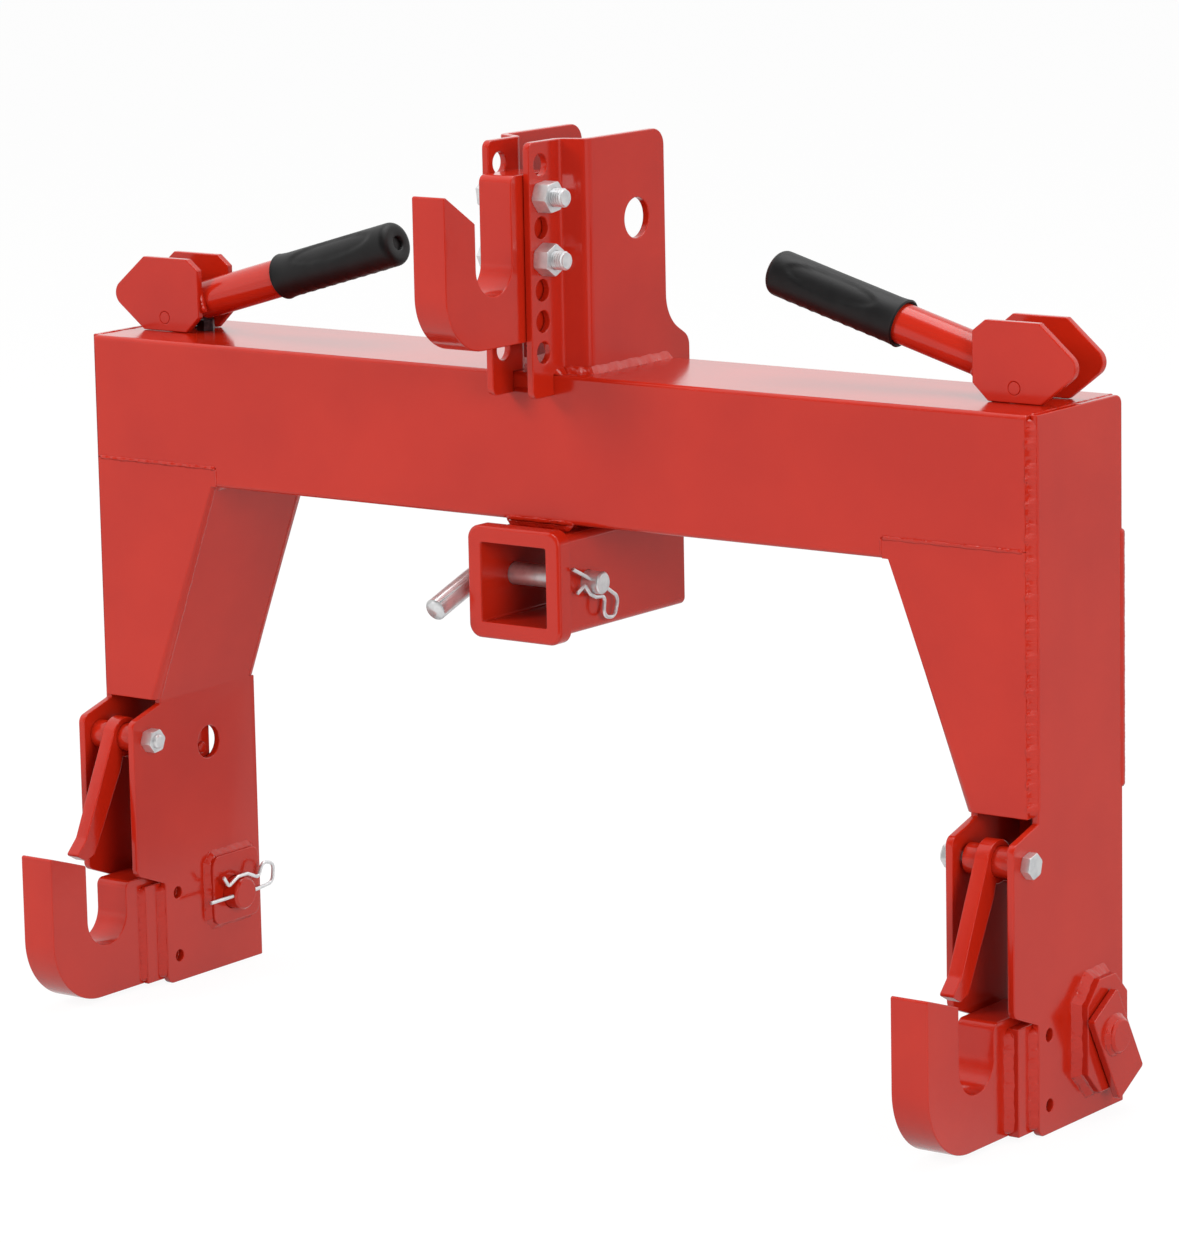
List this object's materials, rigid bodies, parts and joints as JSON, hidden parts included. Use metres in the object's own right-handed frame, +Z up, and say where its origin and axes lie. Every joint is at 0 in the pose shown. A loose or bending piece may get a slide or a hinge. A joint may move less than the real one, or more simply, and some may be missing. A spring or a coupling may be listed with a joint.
{
  "type": "three point quick hitch",
  "caption": "Red powder-coated three point quick hitch with lower and upper hooks, cam-lever latches, lower link pins, top link clevis and a 2 inch receiver.",
  "frame": {"origin": "middle of the overall width and depth, at the height of the leg ends that the hitch stands on", "axes": "+X across the hitch, towards the receiver pin's clip end; +Y towards the tractor, away from the hooks; +Z up"},
  "size_m": [0.776, 0.2232, 0.5858],
  "materials": {
    "red_coat": "glossy",
    "zinc": "satin",
    "dark_steel": "satin",
    "grip_rubber": "matte"
  },
  "bodies": {
    "frame": {"top_beam": "red_coat", "outer_side_plate_right": "red_coat", "outer_side_plate_left": "red_coat", "inner_side_plate_right": "red_coat", "inner_side_plate_left": "red_coat", "front_leg_plate_right": "red_coat", "front_leg_plate_left": "red_coat", "rear_leg_plate_right": "red_coat", "rear_leg_plate_left": "red_coat", "lower_hook_right": "red_coat", "lower_hook_left": "red_coat", "inner_hook_spacer_right": "red_coat", "inner_hook_spacer_left": "red_coat", "outer_hook_spacer_right": "red_coat", "outer_hook_spacer_left": "red_coat", "outer_link_boss_right": "red_coat", "outer_link_boss_left": "red_coat", "inner_link_boss_right": "red_coat", "inner_link_boss_left": "red_coat", "mast_plate_right": "red_coat", "mast_plate_left": "red_coat", "upper_hook": "red_coat", "mast_bolts": "zinc", "mast_nuts": "zinc", "receiver_tube": "red_coat", "receiver_collar": "red_coat", "receiver_pad": "red_coat", "latch_pivot_bolts": "zinc", "latch_pivot_nuts": "zinc", "handle_stop_bolts": "dark_steel", "return_spring_right": "dark_steel", "return_spring_left": "dark_steel"},
    "rod_right": {"release_rod_right": "red_coat", "rod_foot_pin_right": "red_coat", "spring_collar_right": "dark_steel"},
    "rod_left": {"release_rod_left": "red_coat", "rod_foot_pin_left": "red_coat", "spring_collar_left": "dark_steel"},
    "handle_right": {"front_cam_plate_right": "red_coat", "rear_cam_plate_right": "red_coat", "cam_pin_right": "red_coat", "handle_tube_right": "red_coat", "handle_grip_right": "grip_rubber"},
    "handle_left": {"front_cam_plate_left": "red_coat", "rear_cam_plate_left": "red_coat", "cam_pin_left": "red_coat", "handle_tube_left": "red_coat", "handle_grip_left": "grip_rubber"},
    "latch_right": {"latch_lever_right": "red_coat", "latch_bush_right": "red_coat"},
    "latch_left": {"latch_lever_left": "red_coat", "latch_bush_left": "red_coat"},
    "link_pin_right": {"lower_link_pin_right": "red_coat", "link_pin_flag_right": "red_coat", "link_pin_clip_right": "zinc"},
    "link_pin_left": {"lower_link_pin_left": "red_coat", "link_pin_flag_left": "red_coat", "link_pin_clip_left": "zinc"},
    "receiver_pin": {"receiver_pin": "zinc", "receiver_pin_clip": "zinc"}
  },
  "joints": [
    {"name": "rod_lift_right", "type": "slide", "parent": "frame", "child": "rod_right", "axis": [0, 0, 1], "range_m": [0, 0.0357], "deforming": ["return_spring_right"]},
    {"name": "rod_lift_left", "type": "slide", "parent": "frame", "child": "rod_left", "axis": [0, 0, 1], "range_m": [0, 0.0357], "deforming": ["return_spring_left"]},
    {"name": "handle_turn_right", "type": "hinge", "parent": "rod_right", "child": "handle_right", "pos_m": [0.332, 0.04295, 0.4484], "axis": [0, 1, 0], "range_deg": [0, 90]},
    {"name": "handle_turn_left", "type": "hinge", "parent": "rod_left", "child": "handle_left", "pos_m": [-0.332, 0.04295, 0.4484], "axis": [0, -1, 0], "range_deg": [0, 90]},
    {"name": "latch_turn_right", "type": "hinge", "parent": "frame", "child": "latch_right", "pos_m": [0.3435, -0.02055, 0.171], "axis": [1, 0, 0], "range_deg": [0, 31.4]},
    {"name": "latch_turn_left", "type": "hinge", "parent": "frame", "child": "latch_left", "pos_m": [-0.3435, -0.02055, 0.171], "axis": [1, 0, 0], "range_deg": [0, 31.4]},
    {"name": "link_pin_spin_right", "type": "hinge", "parent": "frame", "child": "link_pin_right", "pos_m": [0.3435, 0.05545, 0.052], "axis": [1, 0, 0], "continuous": true},
    {"name": "link_pin_spin_left", "type": "hinge", "parent": "frame", "child": "link_pin_left", "pos_m": [-0.3435, 0.05545, 0.052], "axis": [1, 0, 0], "continuous": true},
    {"name": "receiver_pin_turn", "type": "hinge", "parent": "frame", "child": "receiver_pin", "pos_m": [0, 0.00085, 0.3078], "axis": [1, 0, 0], "range_deg": [-75, 180]}
  ],
  "couplings": [
    {"joint": "rod_lift_right", "follows": "handle_turn_right", "m_per_rad": 0.022727},
    {"joint": "latch_turn_right", "follows": "handle_turn_right", "ratio": 0.34889},
    {"joint": "rod_lift_left", "follows": "handle_turn_left", "m_per_rad": 0.022727},
    {"joint": "latch_turn_left", "follows": "handle_turn_left", "ratio": 0.34889}
  ]
}
